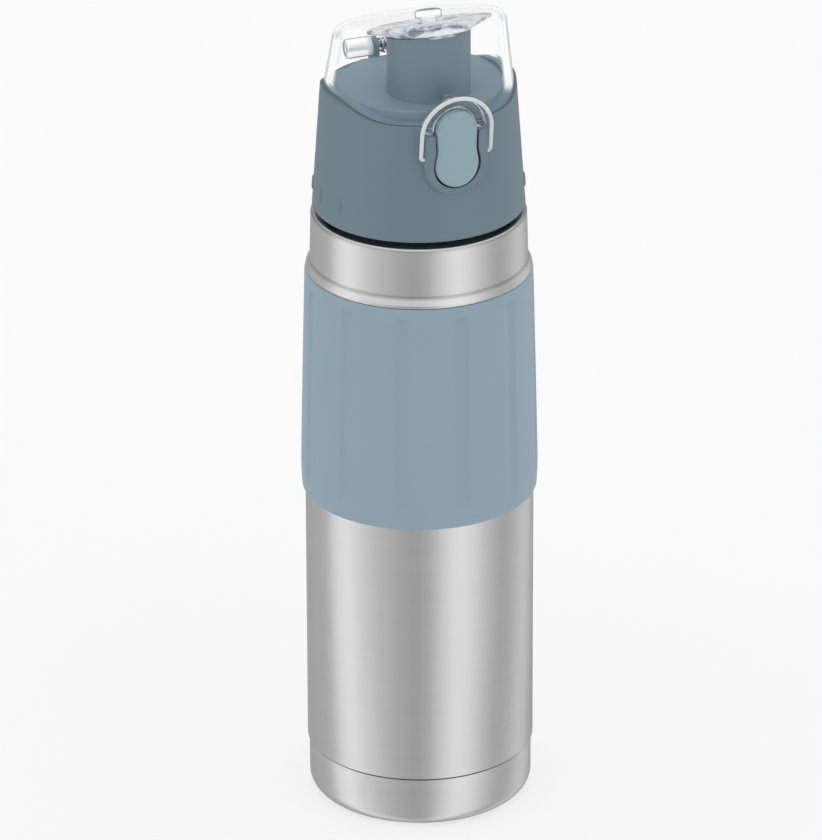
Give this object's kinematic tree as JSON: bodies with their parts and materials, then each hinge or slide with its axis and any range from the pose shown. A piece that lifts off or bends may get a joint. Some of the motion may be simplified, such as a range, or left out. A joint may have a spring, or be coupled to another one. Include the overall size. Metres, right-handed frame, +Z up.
{
  "type": "insulated water bottle",
  "caption": "Double-walled steel water bottle with a grooved rubber grip and a screw-on lid: push button, lock ring and clear flip cover over a drinking spout.",
  "frame": {"origin": "centre of the foot, on the plane it stands on", "axes": "+Z up along the bottle's axis, -Y towards the button, +Y towards the hinge"},
  "size_m": [0.0754, 0.0754, 0.2737],
  "materials": {
    "steel_body": "fine satin stainless steel, brushed around the body",
    "steel_inner": "drawn stainless steel, satin",
    "solder": "dull solder pellet",
    "getter_metal": "dull sintered metal",
    "foil": "bright foil",
    "grip_rubber": "matt moulded silicone, pale blue-grey",
    "gasket_rubber": "matt silicone",
    "lid_plastic": "fine-grained polypropylene, slate blue",
    "button_plastic": "satin polypropylene, pale blue-grey",
    "clear_plastic": "clear copolyester, polished",
    "seal_silicone": "milky translucent silicone",
    "spring_steel": "drawn stainless wire"
  },
  "bodies": {
    "bottle": {"base_cup": "steel_body", "outer_shell": "steel_body", "bottom_plate": "steel_inner", "vacuum_plug": "solder", "getter": "getter_metal", "radiation_foil": "foil", "inner_flask": "steel_inner", "grip_sleeve": "grip_rubber"},
    "lid_gasket": {"lid_gasket": "gasket_rubber"},
    "lid": {"lid_core": "lid_plastic", "spout": "lid_plastic", "spout_o_ring": "gasket_rubber", "lid_shell": "lid_plastic", "button_spring": "spring_steel", "hinge_pin": "spring_steel", "cover_spring": "spring_steel"},
    "cover": {"cover": "clear_plastic", "spout_seal": "seal_silicone", "seal_retainer": "clear_plastic"},
    "button": {"push_button": "button_plastic"},
    "lock_ring": {"lock_ring": "clear_plastic"}
  },
  "joints": [
    {"name": "lid_lift", "type": "slide", "parent": "bottle", "child": "lid_gasket", "axis": [0, 0, 1], "range_m": [0, 0.045]},
    {"name": "lid_turn", "type": "hinge", "parent": "lid_gasket", "child": "lid", "pos_m": [0, 0, 0.21], "axis": [0, 0, 1], "range_deg": [0, 450]},
    {"name": "cover_hinge", "type": "hinge", "parent": "lid", "child": "cover", "pos_m": [0, 0.02716, 0.2475], "axis": [-1, 0, 0], "range_deg": [0, 120]},
    {"name": "button_press", "type": "slide", "parent": "lid", "child": "button", "axis": [0, 1, 0], "range_m": [0, 0.0018], "stiffness_N_per_m": 500, "springref_m": -0.002, "deforming": ["button_spring"]},
    {"name": "lock_ring_swing", "type": "hinge", "parent": "lid", "child": "lock_ring", "pos_m": [0, -0.03125, 0.232], "axis": [1, 0, 0], "range_deg": [0, 160]}
  ]
}
